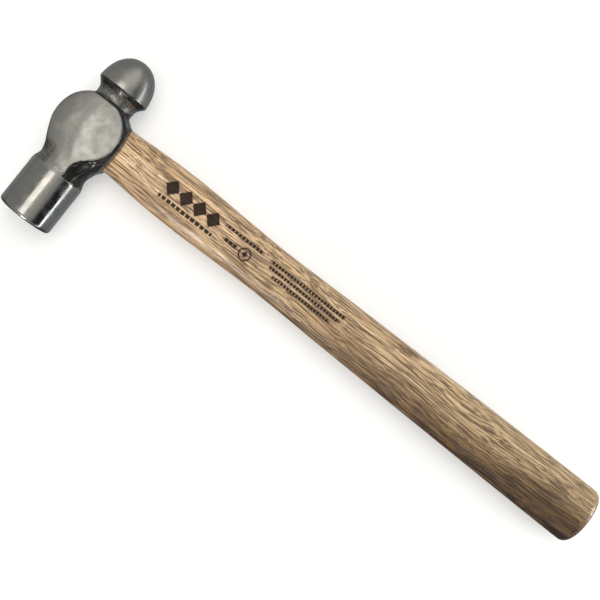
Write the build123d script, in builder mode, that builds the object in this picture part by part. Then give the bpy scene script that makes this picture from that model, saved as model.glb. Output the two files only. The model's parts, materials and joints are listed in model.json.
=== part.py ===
from build123d import *
import os

# Ball peen hammer: forged steel head on a wooden handle, held by one wooden and two steel wedges.
#
# Frame: the hammer lies on its cheek. +X runs along the handle from head to butt, +Y runs along
# the head axis towards the ball peen, +Z is up. The origin is at the bottom centre of its box.

# ---- driving dimensions, mm ----

# head, measured from the point where its axis crosses the handle axis
FACE_REACH = 55.7           # striking face, below the handle axis
PEEN_REACH = 43.1           # tip of the ball, above the handle axis
FACE_RADIUS = 15.0
FACE_EDGE_ROUND = 2.2
SHOULDER_START = 28.4       # where the striking cylinder begins to turn in
SHOULDER_END = 26.2
SHOULDER_RADIUS = 14.6
FACE_NECK_REACH = 21.5
FACE_NECK_RADIUS = 13.5
FLARE_MID_REACH = 17.0      # where the neck spreads into the sides of the eye body
FLARE_MID_RADIUS = 14.5
FLARE_REACH = 12.4
FLARE_RADIUS = 17.6
PEEN_NECK_REACH = 18.2
PEEN_NECK_RADIUS = 10.7
BALL_RIM_REACH = 25.4
BALL_RADIUS = 14.0
PEEN_TIP_RADIUS = 1.0       # the very tip of the ball is flat
BALL_SIDE_REACH = 37.6      # a point on the side of the ball
BALL_SIDE_RADIUS = 9.8
BALL_UNDERCUT_REACH = 24.0
BALL_UNDERCUT_RADIUS = 13.5

# the eye body, a flattened disc seen from the cheek
EYE_DISC_X = 0.3
EYE_DISC_Y = -1.0
EYE_DISC_RADIUS = 19.3
CHEEK_HEIGHT = 15.3         # half the thickness over the cheeks
CHEEK_SHOULDER_HEIGHT = 14.3
CHEEK_FLAT_RADIUS = 4.0
CHEEK_DOME_RADIUS = 14.0    # where the dome gives way to the rounded side
CREST_X = -3.0              # highest line of the cheeks
CREST_TO_TOP = 17.0         # how far the rounded back would reach from that line
BACK_SIDE_HEIGHT = 8.2      # where the back begins to round over
DISC_SIDE_HEIGHT = 9.0      # where the side of the disc begins to round over
COLLAR_HALF_WIDTH = 13.4    # round the handle's side of the eye, along the head axis
COLLAR_HALF_HEIGHT = 12.6
COLLAR_START_X = 6.0
RIM_X = 19.2                # handle side of the eye, on the handle axis
RIM_CORNER_X = 16.6
RIM_CORNER_Y = 13.0
CLEAR_Y = 30.0              # beyond the sides of the eye body and the handle

# the eye, an hourglass oval right through the head, as (x, length along Y, width along Z)
EYE_MOUTH = (20.0, 23.2, 16.4)
EYE_WAIST = (0.0, 21.4, 15.0)
EYE_TOP = (-22.0, 23.6, 17.4)
TENON_RECESS = 0.4          # the tenon and its wedges end this far inside the top of the head

# handle: (distance from the head axis, width along Y, thickness along Z)
HANDLE_STATIONS = (
    (10.0, 24.3, 18.0),
    (36.0, 27.2, 19.8),
    (62.0, 28.4, 20.8),
    (87.0, 27.1, 20.2),
    (112.0, 25.9, 19.6),
    (150.0, 27.2, 20.4),
    (190.0, 28.3, 21.4),
    (230.0, 29.5, 22.5),
    (270.0, 30.3, 23.5),
    (300.0, 30.8, 24.2),
    (316.3, 30.8, 24.4),
)
BUTT_EDGE_ROUND = 5.0

# wedges
KERF_TOP_WIDTH = 3.4
KERF_ROOT_WIDTH = 1.0
KERF_DEPTH = 25.0
STEEL_WEDGE_WIDTH = 11.0    # along Z
STEEL_WEDGE_TOP = 2.4
STEEL_WEDGE_TIP = 0.6
STEEL_WEDGE_DEPTH = 15.0
STEEL_WEDGE_Y = 5.8         # from the handle axis, one wedge on each side

# ---- placing the part in its frame ----

BUTT_X = HANDLE_STATIONS[-1][0]
TOP_X = EYE_DISC_X - EYE_DISC_RADIUS
centre = Vector(-(TOP_X + BUTT_X) / 2, (FACE_REACH - PEEN_REACH) / 2, CHEEK_HEIGHT)

side_plane = Plane(origin=centre, x_dir=(1, 0, 0), z_dir=(0, 0, 1))
cross_plane = Plane(origin=centre, x_dir=(1, 0, 0), z_dir=(0, -1, 0))
end_plane = Plane(origin=centre, x_dir=(0, 1, 0), z_dir=(1, 0, 0))
head_axis = Axis(centre, (0, 1, 0))
disc_axis = Axis(centre + Vector(EYE_DISC_X, EYE_DISC_Y, 0), (0, 0, 1))
disc_plane = Plane(origin=disc_axis.position, x_dir=(1, 0, 0), z_dir=(0, -1, 0))

# ---- helper solids shared by the head and the handle ----

# the oval space through the head, which the tenon fills
with BuildPart() as eye_space:
    for x, length, width in (EYE_MOUTH, EYE_WAIST, EYE_TOP):
        with BuildSketch(end_plane.offset(x)):
            Ellipse(length / 2, width / 2)
    loft()

# everything on the handle's side of the curved rim
with BuildPart() as beyond_rim:
    with BuildSketch(side_plane):
        with BuildLine():
            rim = ThreePointArc((RIM_CORNER_X, EYE_DISC_Y - RIM_CORNER_Y), (RIM_X, EYE_DISC_Y),
                                (RIM_CORNER_X, EYE_DISC_Y + RIM_CORNER_Y))
            Polyline(rim @ 1, (RIM_CORNER_X, CLEAR_Y), (BUTT_X + CLEAR_Y, CLEAR_Y),
                     (BUTT_X + CLEAR_Y, -CLEAR_Y), (RIM_CORNER_X, -CLEAR_Y), rim @ 0)
        make_face()
    extrude(amount=CLEAR_Y, both=True)

# the disc of the eye body: domed cheeks, rounded sides, and a rounder back towards the top
with BuildPart() as eye_disc:
    with BuildSketch(disc_plane):
        with BuildLine():
            Polyline((CHEEK_FLAT_RADIUS, CHEEK_HEIGHT), (0, CHEEK_HEIGHT), (0, -CHEEK_HEIGHT),
                     (CHEEK_FLAT_RADIUS, -CHEEK_HEIGHT))
            for side in (1, -1):
                dome = TangentArc((CHEEK_FLAT_RADIUS, side * CHEEK_HEIGHT),
                                  (CHEEK_DOME_RADIUS, side * CHEEK_SHOULDER_HEIGHT), tangent=(1, 0))
                Spline(dome @ 1, (EYE_DISC_RADIUS, side * DISC_SIDE_HEIGHT), tangents=(dome % 1, (0, -side)))
            Line((EYE_DISC_RADIUS, DISC_SIDE_HEIGHT), (EYE_DISC_RADIUS, -DISC_SIDE_HEIGHT))
        make_face()
    revolve(axis=disc_axis)
    # the cheeks stay flat towards the handle and fall away towards the top
    with BuildSketch(disc_plane):
        Rectangle(4 * EYE_DISC_RADIUS, 2 * BACK_SIDE_HEIGHT)
        with Locations((CREST_X, BACK_SIDE_HEIGHT), (CREST_X, -BACK_SIDE_HEIGHT)):
            Ellipse(CREST_TO_TOP, CHEEK_HEIGHT - BACK_SIDE_HEIGHT)
        with Locations((CREST_X, 0)):
            Rectangle(2 * EYE_DISC_RADIUS, 2 * CHEEK_HEIGHT, align=(Align.MIN, Align.CENTER))
    extrude(amount=2 * EYE_DISC_RADIUS, both=True, mode=Mode.INTERSECT)

# the neck flares out into the sides of the disc, and stays below the cheeks
with BuildPart() as neck_flare:
    with BuildSketch(side_plane):
        with BuildLine():
            Spline((FACE_NECK_RADIUS, -FACE_NECK_REACH), (FLARE_MID_RADIUS, -FLARE_MID_REACH),
                   (FLARE_RADIUS, -FLARE_REACH), tangents=((0, 1), (0.7, 1)))
            Polyline((FLARE_RADIUS, -FLARE_REACH), (0, -FLARE_REACH), (0, -FACE_NECK_REACH),
                     (FACE_NECK_RADIUS, -FACE_NECK_REACH))
        make_face()
    revolve(axis=head_axis)
    with BuildSketch(side_plane):
        Rectangle(4 * FLARE_RADIUS, 4 * FACE_REACH)
    extrude(amount=CHEEK_SHOULDER_HEIGHT, both=True, mode=Mode.INTERSECT)

# ---- head ----

with BuildPart() as head:
    with BuildSketch(side_plane):
        with BuildLine():
            face = Polyline((PEEN_TIP_RADIUS, PEEN_REACH), (0, PEEN_REACH), (0, -FACE_REACH),
                            (FACE_RADIUS - FACE_EDGE_ROUND, -FACE_REACH))
            edge = RadiusArc(face @ 1, (FACE_RADIUS, FACE_EDGE_ROUND - FACE_REACH), -FACE_EDGE_ROUND)
            Polyline(edge @ 1, (FACE_RADIUS, -SHOULDER_START), (SHOULDER_RADIUS, -SHOULDER_END))
            Spline((SHOULDER_RADIUS, -SHOULDER_END), (FACE_NECK_RADIUS, -FACE_NECK_REACH),
                   (SHOULDER_RADIUS, -FACE_NECK_REACH / 2))
            Line((SHOULDER_RADIUS, -FACE_NECK_REACH / 2), (SHOULDER_RADIUS, PEEN_NECK_REACH / 2))
            Spline((SHOULDER_RADIUS, PEEN_NECK_REACH / 2), (PEEN_NECK_RADIUS, PEEN_NECK_REACH),
                   (BALL_UNDERCUT_RADIUS, BALL_UNDERCUT_REACH), tangents=((-0.6, 1), (0.7, 1)))
            Line((BALL_UNDERCUT_RADIUS, BALL_UNDERCUT_REACH), (BALL_RADIUS, BALL_RIM_REACH))
            Spline((BALL_RADIUS, BALL_RIM_REACH), (BALL_SIDE_RADIUS, BALL_SIDE_REACH),
                   (PEEN_TIP_RADIUS, PEEN_REACH), tangents=((0, 1), (-1, 0)))
        make_face()
    revolve(axis=head_axis)
    add(eye_disc.part)
    add(neck_flare.part)
    # collar round the handle's side of the eye
    with BuildSketch(end_plane.offset(COLLAR_START_X)):
        with Locations((EYE_DISC_Y, 0)):
            Ellipse(COLLAR_HALF_WIDTH, COLLAR_HALF_HEIGHT)
    extrude(amount=RIM_X - COLLAR_START_X)
    add(beyond_rim.part, mode=Mode.SUBTRACT)
    add(eye_space.part, mode=Mode.SUBTRACT)
head.part.label = "head"

# ---- wedges ----

# the tapered slot down the tenon, along the eye's long axis
with BuildPart() as kerf:
    with BuildSketch(cross_plane):
        with BuildLine():
            Polyline((TOP_X - 1, KERF_TOP_WIDTH / 2), (TOP_X + KERF_DEPTH, KERF_ROOT_WIDTH / 2),
                     (TOP_X + KERF_DEPTH, -KERF_ROOT_WIDTH / 2), (TOP_X - 1, -KERF_TOP_WIDTH / 2), close=True)
        make_face()
    extrude(amount=EYE_TOP[1], both=True)

# the top of the tenon is sanded to the curve of the head, with the wedges in it
with BuildPart() as tenon_top:
    with BuildSketch(side_plane.offset(-CHEEK_HEIGHT)):
        with Locations((EYE_DISC_X, EYE_DISC_Y)):
            Circle(EYE_DISC_RADIUS - TENON_RECESS)
        with Locations((BUTT_X / 2, 0)):
            Rectangle(BUTT_X, 3 * EYE_DISC_RADIUS)
    extrude(amount=2 * CHEEK_HEIGHT)

steel_wedges = {}
for name, y in (("steel_wedge_peen_side", STEEL_WEDGE_Y), ("steel_wedge_face_side", -STEEL_WEDGE_Y)):
    with BuildPart() as steel_wedge:
        with BuildSketch(side_plane.offset(-STEEL_WEDGE_WIDTH / 2)):
            with BuildLine():
                Polyline((TOP_X - 1, y + STEEL_WEDGE_TOP / 2),
                         (TOP_X + STEEL_WEDGE_DEPTH, y + STEEL_WEDGE_TIP / 2),
                         (TOP_X + STEEL_WEDGE_DEPTH, y - STEEL_WEDGE_TIP / 2),
                         (TOP_X - 1, y - STEEL_WEDGE_TOP / 2), close=True)
            make_face()
        extrude(amount=STEEL_WEDGE_WIDTH)
        add(tenon_top.part, mode=Mode.INTERSECT)
    steel_wedge.part.label = name
    steel_wedges[name] = steel_wedge.part

with BuildPart() as wooden_wedge:
    add(kerf.part)
    add(eye_space.part, mode=Mode.INTERSECT)
    add(tenon_top.part, mode=Mode.INTERSECT)
    for wedge in steel_wedges.values():
        add(wedge, mode=Mode.SUBTRACT)
wooden_wedge.part.label = "wooden_wedge"

# ---- handle ----

# the tenon fills the eye and is spread by the wedges
with BuildPart() as tenon:
    add(eye_space.part)
    add(beyond_rim.part, mode=Mode.SUBTRACT)
    add(tenon_top.part, mode=Mode.INTERSECT)
    add(kerf.part, mode=Mode.SUBTRACT)
    for wedge in steel_wedges.values():
        add(wedge, mode=Mode.SUBTRACT)

with BuildPart() as handle:
    for x, width, thickness in HANDLE_STATIONS:
        with BuildSketch(end_plane.offset(x)):
            Ellipse(width / 2, thickness / 2)
    loft()
    fillet(handle.faces().sort_by(Axis.X)[-1].edges(), BUTT_EDGE_ROUND)
    add(beyond_rim.part, mode=Mode.INTERSECT)
    add(tenon.part)
handle.part.label = "handle"

# ---- files ----

os.makedirs("parts", exist_ok=True)
for piece in (head.part, handle.part, wooden_wedge.part, *steel_wedges.values()):
    export_step(piece, f"parts/{piece.label}.step")
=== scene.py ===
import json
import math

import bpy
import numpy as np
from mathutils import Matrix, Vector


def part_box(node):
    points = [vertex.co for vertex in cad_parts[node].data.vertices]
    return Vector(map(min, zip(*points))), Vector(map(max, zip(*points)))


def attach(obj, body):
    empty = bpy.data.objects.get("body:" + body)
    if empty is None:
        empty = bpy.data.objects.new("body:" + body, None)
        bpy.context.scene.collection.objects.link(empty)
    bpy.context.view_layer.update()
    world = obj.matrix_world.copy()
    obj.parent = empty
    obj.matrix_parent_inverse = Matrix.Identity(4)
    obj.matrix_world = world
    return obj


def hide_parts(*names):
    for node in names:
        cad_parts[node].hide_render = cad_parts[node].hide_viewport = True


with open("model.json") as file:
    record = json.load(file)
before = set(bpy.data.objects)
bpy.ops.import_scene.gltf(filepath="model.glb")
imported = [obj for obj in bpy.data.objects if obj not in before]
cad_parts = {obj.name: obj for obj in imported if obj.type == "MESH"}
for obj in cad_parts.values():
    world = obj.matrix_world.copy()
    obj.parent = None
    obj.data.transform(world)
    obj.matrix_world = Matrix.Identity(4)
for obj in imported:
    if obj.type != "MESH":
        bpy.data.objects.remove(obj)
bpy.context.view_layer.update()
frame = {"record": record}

# Ball peen hammer: the forged head and the oak handle are modelled here as fine meshes that stand for
# their CAD nodes; the wedges keep their CAD meshes and get their own materials.
# Local lengths are in millimetres from the point where the head's axis crosses the handle's axis:
# x runs along the handle to the butt, y towards the ball, and z up.

import openvdb
from mathutils import Vector
from mathutils.bvhtree import BVHTree

MM = 0.001

# ---- places taken from the frame ----

MOUNTS = {m["name"]: m for m in frame["record"]["mounts"]}
FACE = Vector(MOUNTS["striking_face"]["pos_m"])
GRIP = Vector(MOUNTS["grip"]["pos_m"])
CROSSING = Vector((FACE.x, GRIP.y, FACE.z))


def local_box(node):
    """A node's box in millimetres from the crossing of the axes."""
    low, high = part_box(node)
    return (Vector(low) - CROSSING) / MM, (Vector(high) - CROSSING) / MM


HEAD_LOW, HEAD_HIGH = local_box("head")
HANDLE_LOW, HANDLE_HIGH = local_box("handle")
FACE_Y = HEAD_LOW.y
PEEN_Y = HEAD_HIGH.y
TOP_X = HEAD_LOW.x
RIM_X = HEAD_HIGH.x
CHEEK_Z = HEAD_HIGH.z
BUTT_X = HANDLE_HIGH.x

# ---- head: the turned body ----

VOXEL = 0.41                # spacing of the grid on which the head is worked out
FIELD_LIMIT = 3.0           # distances beyond this are not needed
TABLE_STEP = 0.15           # spacing of the table of distances to the turned outline
TABLE_RADIUS = 40           # the table reaches this far from the axis
FACE_RADIUS = 15.0
FACE_EDGE = 2.0             # radius of the striking face's rounded edge
FACE_CROWN = 0.35           # the face's rim lies this far behind its middle
SHOULDER_Y = -28.3          # where the striking cylinder ends
NECK_Y = -22.0
NECK_RADIUS = 13.5
PEEN_NECK_Y = 18.4
PEEN_NECK_RADIUS = 10.8
PEEN_SHIFT = 0.55           # the ball and its neck sit this much nearer to the handle
PEEN_SHIFT_SPAN = (12, 18)  # the shift comes in over this stretch of y
BALL_RIM_Y = 25.3
BALL_RADIUS = 14.25

# profiles, as (radius, y)
NECK_PROFILE = ((FACE_RADIUS - 0.05, SHOULDER_Y), (14.45, -26.4), (13.75, -24.4), (NECK_RADIUS, NECK_Y),
                (13.6, -18.0), (13.8, -12.0))
BODY_END = (13.8, 8.0)
PEEN_NECK_PROFILE = ((12.4, 13.0), (10.9, 16.4), (PEEN_NECK_RADIUS, PEEN_NECK_Y), (11.1, 20.6),
                     (12.3, 22.6), (13.3, 23.8))
BALL_RIM_PROFILE = ((13.3, 23.8), (13.85, 24.5), (BALL_RADIUS, BALL_RIM_Y))
BALL_PROFILE = ((BALL_RADIUS, BALL_RIM_Y), (13.75, 29.0), (12.75, 33.0), (11.0, 36.6), (8.2, 39.9),
                (4.5, 42.2), (0.0, PEEN_Y))

# ---- head: the forged middle ----

DISC_CENTRE = (0.3, -1.0)
DISC_RADIUS = DISC_CENTRE[0] - TOP_X
DISC_EDGE = 1.5
PLAN_SCALE = 0.9            # distances measured in plan are too long by about this, as the flanks slope
CHEEK_SCALE = 0.93          # and so are heights above the sloping cheeks
FORGED_GAP = 0.9            # the forging lies this much under the ground cheeks
FLANK_Z = 9.0               # the disc's flank begins to draw in here
FLANK_INSET = 3.4           # and is this much smaller just under the cheeks
FLANK_TOP_GAP = 1.2         # which means this far under them
FLANK_POWER = 1.6
FLANK_MOST = 2              # the inset goes on growing above that level, up to this share of the way
PEEN_FILLET = 1.6           # fillet between disc and neck on the ball's side
FACE_FILLET_MORE = 5.0      # it is this much larger on the face's side
FILLET_SPAN = (6, -9)       # and grows over this stretch of y
COLLAR = (13.4, 12.6)       # half width along the head axis, half height
COLLAR_X = 4.0              # the collar round the eye begins here
COLLAR_EDGE = 1.0
COLLAR_BLEND = 3.5
RIM_SAG = 2.6               # the handle side of the eye is this much lower at its corners
RIM_CORNER_Y = 13.0
RIM_MOST = 1.2              # the sag goes on past the corner up to this share of its distance
RIM_EDGE = 0.7
EYE_TOP = (11.8, 8.7)       # half axes of the eye where it opens at the top, in the middle and at the handle
EYE_WAIST = (10.7, 7.5)
EYE_MOUTH = (11.6, 8.2)
EYE_EDGE = 0.5
SCOOP_X = 11.4              # the forged hollow beside the ground strip
SCOOP_Y = (-20.8, -16.0)
SCOOP_Z = 15.5
SCOOP_RADIUS = 5.6
SCOOP_EDGE = 1.5

# ---- head: the ground cheeks and the ground strip down the face's neck ----

PAD_CENTRE = (1.0, 0.2)     # the cheek is ground inside this circle
PAD_RADIUS = 16.7
PAD_BLEND = 6.5
STRIP_X = 5.5               # and down the neck as far as this
STRIP_Y = -9.0              # beginning here
BACK_X = -3.0               # and from here to the top of the head
BACK_END_Y = 15.3           # as far as this towards the ball
STRIP_FLATNESS = 0.4        # the strip is this much flatter than the round neck, towards the handle
STRIP_RISE = 0.45           # and stands a little higher
STRIP_RISE_SPAN = (6.0, 13.0)       # which comes in over these heights
NECK_LEAN = 3.2             # moves the ground neck's crest towards the handle, its far side stays in place
NECK_BLEND_SPAN = (-11.0, -23.5)    # the cheek turns into the strip over this stretch of y
NECK_JOIN = 5.0
BACK_Z = 8.2                # height of the cheeks at the top of the head
CREST_X = -1.8              # highest line of the cheeks; they slope away from it towards the top
CREST_BOW = 0.012           # the line bends towards the handle on either side of its middle
CREST_MIDDLE_Y = 4.0
CREST_SOFTNESS = 1.5        # mm2: how gently the cheek bends over its crest
BACK_SLOPE = 0.165
ROUND_X = -6.0              # where the slope begins to round over
ROUND_TO_TOP = 13.6         # the rounding is a quarter of an oval this long
ROUND_MOST = 0.995          # but stops just before it is upright
DOME_ACROSS = 0.0042        # how quickly the cheek falls away towards the handle
DOME_ALONG = 0.0062         # and towards the face and the ball
DOME_Y = -0.5               # from this middle line
DOME_END_Y = -14.0          # beyond this, towards the face, it falls no further
DOME_END_BLEND = 8.0
CHEEK_END_Y = 12.0          # the ground surfaces hold the forging down as far as this
UNDER_TOP = 0.1             # by this much
UNDER_TOP_EDGE = 0.4
GROUND_EDGE = 1.2
REGION_EDGE = 0.5
GROUND_SEAM = 0.35
SHOULDER_GAP = 3.0          # the strip ends this far from the shoulder

# ---- head: finish ----

# wave fields, as (height, wave length, seed)
RAGGED_EDGE = ((0.5, 5.0, 11), (0.25, 2.0, 12))
FORGED_LUMPS = ((0.055, 6.0, 21), (0.018, 2.2, 22))
GRINDING = ((0.050, 8.0, 23), (0.008, 2.5, 25))
NICK_LENGTH = 2.2
NICK_SEED = 24
NICK_DEPTH = 0.22
NICK_THRESHOLD = 1.3        # only wave crests above this leave a nick
TURNED_GRINDING = 0.08      # share of the grinding waves on the cylinder and the ball, which are turned
WAVE_COUNT = 28
WAVE_SPREAD = (0.7, 1.5)

BALL_NICKS = (0.3, 0.5)     # nicks lie this far before the ball's rim, on a band this wide
SHOULDER_NICKS = 0.4        # and on the shoulder, on a band this wide
SHOULDER_NICK_SHARE = 0.7
CHEEK_GRINDING_SPAN = (SHOULDER_Y, SHOULDER_Y + 3.0)
BALL_GRINDING_SPAN = (20.0, 14.0)
TURNED_CYLINDER_SPAN = (SHOULDER_Y + 1.0, SHOULDER_Y + 0.2)
TURNED_BALL_SPAN = (BALL_RIM_Y - 1, BALL_RIM_Y)
TURNED_BALL_SHARE = 0.5

# how far the wave field makes the edges of the ground steel wander
NECK_RAGGED = 0.4
BALL_RAGGED = 0.2
REGION_RAGGED = 0.18
# spans over which each part of the ground mask goes from 0 to 1
CYLINDER_SPAN = (SHOULDER_Y + 1.6, SHOULDER_Y + 0.7)
BALL_SPAN = (BALL_RIM_Y - 0.4, BALL_RIM_Y + 0.3)
REGION_SPAN = (0.15, -0.35)
FACING_SPAN = (-0.1, 0.35)
BACK_SPAN = (-4.0, -8.0)
NECK_SIDE_SPAN = (-9.0, -14.0)
NECK_SIDE_SHARE = 0.8
PAD_END_SPAN = (16.5, 15.2)
NECK_BACK_SHADE = 0.50       # painted shade: the ground mask is lowered this much on the back of the face's neck, so that it shows darker
NECK_BACK_SHADE_X_SPAN = (-1.0, -6.5)
NECK_BACK_SHADE_Y_SPAN = (-10.5, -18.0)
PEEN_NECK_SHARE = 0.53      # the ball's neck is half bright
PEEN_NECK_IN_SPAN = (15.5, 18.0)
PEEN_NECK_OUT_SPAN = (23.8, 21.8)
LAND_SHARE = 0.55           # and so is the narrow land round the eye's mouth
LAND_SPAN = (0.6, 0.2)
LAND_FACING = 0.8


# ---- small shape tools ----

def smoothstep(low, high, value):
    """0 at low, 1 at high, with a smooth rise between; low may be the larger of the two."""
    t = np.clip((value - low) / (high - low), 0.0, 1.0)
    return t * t * (3.0 - 2.0 * t)


def smooth_max(a, b, k):
    """The larger of two fields, with the corner between them rounded over about k."""
    h = np.clip(0.5 + 0.5 * (a - b) / k, 0.0, 1.0)
    return b * (1 - h) + a * h + k * h * (1 - h)


def smooth_min(a, b, k):
    return -smooth_max(-a, -b, k)


def oval(y, z, half_y, half_z):
    """About the distance to an oval tube that runs along the handle's axis."""
    return (np.sqrt((y / half_y) ** 2 + (z / half_z) ** 2) - 1) * half_z


def curve_through(points, steps=12):
    """A smooth curve through the points, as a dense list (Catmull-Rom)."""
    points = [np.array(p, float) for p in points]
    points = [2 * points[0] - points[1]] + points + [2 * points[-1] - points[-2]]
    dense = []
    for a, b, c, d in zip(points, points[1:], points[2:], points[3:]):
        for t in np.arange(steps) / steps:
            dense.append(0.5 * (2 * b + (c - a) * t + (2 * a - 5 * b + 4 * c - d) * t ** 2
                                + (3 * b - a - 3 * c + d) * t ** 3))
    dense.append(points[-2])
    return dense


def waves(points, length, seed):
    """A smooth random field at the points: many plane waves of about one length."""
    rng = np.random.default_rng(seed)
    total = np.zeros(len(points))
    for _ in range(WAVE_COUNT):
        direction = rng.normal(size=3)
        direction *= 2 * math.pi / (length * rng.uniform(*WAVE_SPREAD) * np.linalg.norm(direction))
        total += np.cos(points @ direction + rng.uniform(0, 2 * math.pi))
    return total / math.sqrt(WAVE_COUNT / 2)


def relief(points, layers):
    """Sum of wave fields, each given by its height, wave length and seed."""
    return sum(height * waves(points, length, seed) for height, length, seed in layers)


# ---- head ----

def turned_outline():
    """Half the turned outline, as (radius, y) from the middle of the face to the tip of the ball."""
    flat_radius = FACE_RADIUS - FACE_EDGE
    crown = [(r, FACE_Y + FACE_CROWN * (r / FACE_RADIUS) ** 2) for r in np.linspace(0, flat_radius, 8)]
    start = crown[-1][1]
    edge = [(FACE_RADIUS - FACE_EDGE * (1 - math.sin(a)), start + FACE_EDGE * (1 - math.cos(a)))
            for a in np.linspace(0.1, math.pi / 2, 8)]
    neck = curve_through(NECK_PROFILE)
    peen_neck = curve_through(PEEN_NECK_PROFILE)
    rim = curve_through(BALL_RIM_PROFILE, 6)
    ball = curve_through(BALL_PROFILE)
    return np.array(crown + edge + neck + [BODY_END] + peen_neck + rim[1:] + ball[1:], float)


def distance_to_outline(outline, radius, y):
    """Signed distance in the half plane of the outline, negative inside it."""
    best = np.full(radius.shape, np.inf)
    for (r0, y0), (r1, y1) in zip(outline, outline[1:]):
        dr, dy = r1 - r0, y1 - y0
        t = np.clip(((radius - r0) * dr + (y - y0) * dy) / max(dr * dr + dy * dy, 1e-9), 0, 1)
        best = np.minimum(best, (radius - r0 - t * dr) ** 2 + (y - y0 - t * dy) ** 2)
    order = np.argsort(outline[:, 1], kind="stable")
    limit = np.interp(y, outline[order, 1], outline[order, 0])
    inside = (radius < limit) & (y > outline[0, 1] + FACE_CROWN * (radius / FACE_RADIUS) ** 2) & (y < PEEN_Y)
    return np.where(inside, -1, 1) * np.sqrt(best)


def sample_table(table, first, step, a, b):
    """Bilinear lookup in a 2D table; the last row and column are never the lower neighbour."""
    i = np.clip((a - first[0]) / step, 0, table.shape[0] - 1.001)
    j = np.clip((b - first[1]) / step, 0, table.shape[1] - 1.001)
    i0 = i.astype(np.int32)
    j0 = j.astype(np.int32)
    fi = i - i0
    fj = j - j0
    low = table[i0, j0] * (1 - fj) + table[i0, j0 + 1] * fj
    high = table[i0 + 1, j0] * (1 - fj) + table[i0 + 1, j0 + 1] * fj
    return low * (1 - fi) + high * fi


def turned_lookup(low, shape):
    """A function of radius and y for the distance to the turned outline, read from a fine table."""
    radii = np.arange(0, TABLE_RADIUS, TABLE_STEP)
    reaches = np.arange(low[1] - 1, low[1] + shape[1] * VOXEL + 1, TABLE_STEP)
    radius_grid, y_grid = np.meshgrid(radii, reaches, indexing="ij")
    table = distance_to_outline(turned_outline(), radius_grid, y_grid).astype(np.float32)

    def turned_at(radius, y):
        return sample_table(table, (0, reaches[0]), TABLE_STEP, radius, y)

    return turned_at


def cheek_level(x, y):
    """Height of the ground cheek: level towards the handle, falling away towards the top of the head."""
    past_crest = CREST_X + CREST_BOW * (y - CREST_MIDDLE_Y) ** 2 - x
    slope = BACK_SLOPE * 0.5 * (past_crest + np.sqrt(past_crest ** 2 + CREST_SOFTNESS))
    round_over = np.clip((ROUND_X - x) / ROUND_TO_TOP, 0, ROUND_MOST)
    fall = (CHEEK_Z - BACK_Z - BACK_SLOPE * (CREST_X - TOP_X)) * (1 - np.sqrt(1 - round_over ** 2))
    ahead = np.clip(x - CREST_X, 0, None)
    aside = smooth_max(y, DOME_END_Y, DOME_END_BLEND) - DOME_Y
    return CHEEK_Z - slope - fall - DOME_ACROSS * ahead ** 2 - DOME_ALONG * aside ** 2


def ground_region(x, y):
    """Seen from above: negative where the head is ground, positive where its forged skin is left."""
    pad = np.sqrt((x - PAD_CENTRE[0]) ** 2 + (y - PAD_CENTRE[1]) ** 2) - PAD_RADIUS
    strip = np.maximum(x - STRIP_X, y - STRIP_Y)
    back = np.maximum(x - BACK_X, y - BACK_END_Y)
    return smooth_min(pad, np.minimum(strip, back), PAD_BLEND)


def rim_level(y):
    """Where the handle's side of the eye ends."""
    across = np.clip(np.abs(y - DISC_CENTRE[1]) / RIM_CORNER_Y, 0, RIM_MOST)
    return RIM_X - RIM_SAG * across ** 2


def eye_axes(x):
    """Half axes of the eye at a distance along the handle."""
    stations = (TOP_X, 0.0, RIM_X)
    return (np.interp(x, stations, (EYE_TOP[0], EYE_WAIST[0], EYE_MOUTH[0])),
            np.interp(x, stations, (EYE_TOP[1], EYE_WAIST[1], EYE_MOUTH[1])))


def forged_disc(plan, cheek, height):
    """The round middle of the forging, drawn in towards the cheeks and a little under them."""
    share = np.clip((height - FLANK_Z) / (CHEEK_Z - FLANK_TOP_GAP - FLANK_Z), 0, FLANK_MOST)
    flank = FLANK_INSET * share ** FLANK_POWER
    return smooth_max((plan + flank) * PLAN_SCALE, cheek + FORGED_GAP, DISC_EDGE)


def forged_scoop(x, y, height):
    """The hollow beside the ground strip: a ball swept a short way along the neck."""
    along = np.clip(y, *SCOOP_Y)
    return np.sqrt((x - SCOOP_X) ** 2 + (y - along) ** 2 + (height - SCOOP_Z) ** 2) - SCOOP_RADIUS


def ground_top(x, y, z, cheek, turned_at):
    """The ground surface: the cheek, running into the flatter, leaning strip down the face's neck."""
    across = x * (1 - NECK_LEAN / NECK_RADIUS) - NECK_LEAN
    across = np.where(across > 0, STRIP_FLATNESS * across, across)
    neck = turned_at(np.sqrt(across ** 2 + z * z), y)
    neck = neck - STRIP_RISE * smoothstep(*STRIP_RISE_SPAN, np.abs(z))
    neck_share = smoothstep(*NECK_BLEND_SPAN, y)
    return cheek * (1 - neck_share) + neck * neck_share


def ground_part(x, y, plan, top):
    """The steel under the ground surface, within the ground region and short of the shoulder."""
    outline = smooth_min(plan, np.maximum(np.abs(x) - NECK_RADIUS, y), NECK_JOIN)
    ground = smooth_max(outline * PLAN_SCALE, top, GROUND_EDGE)
    ground = smooth_max(ground, ground_region(x, y), REGION_EDGE)
    return np.maximum(ground, SHOULDER_Y + SHOULDER_GAP - y)


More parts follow.
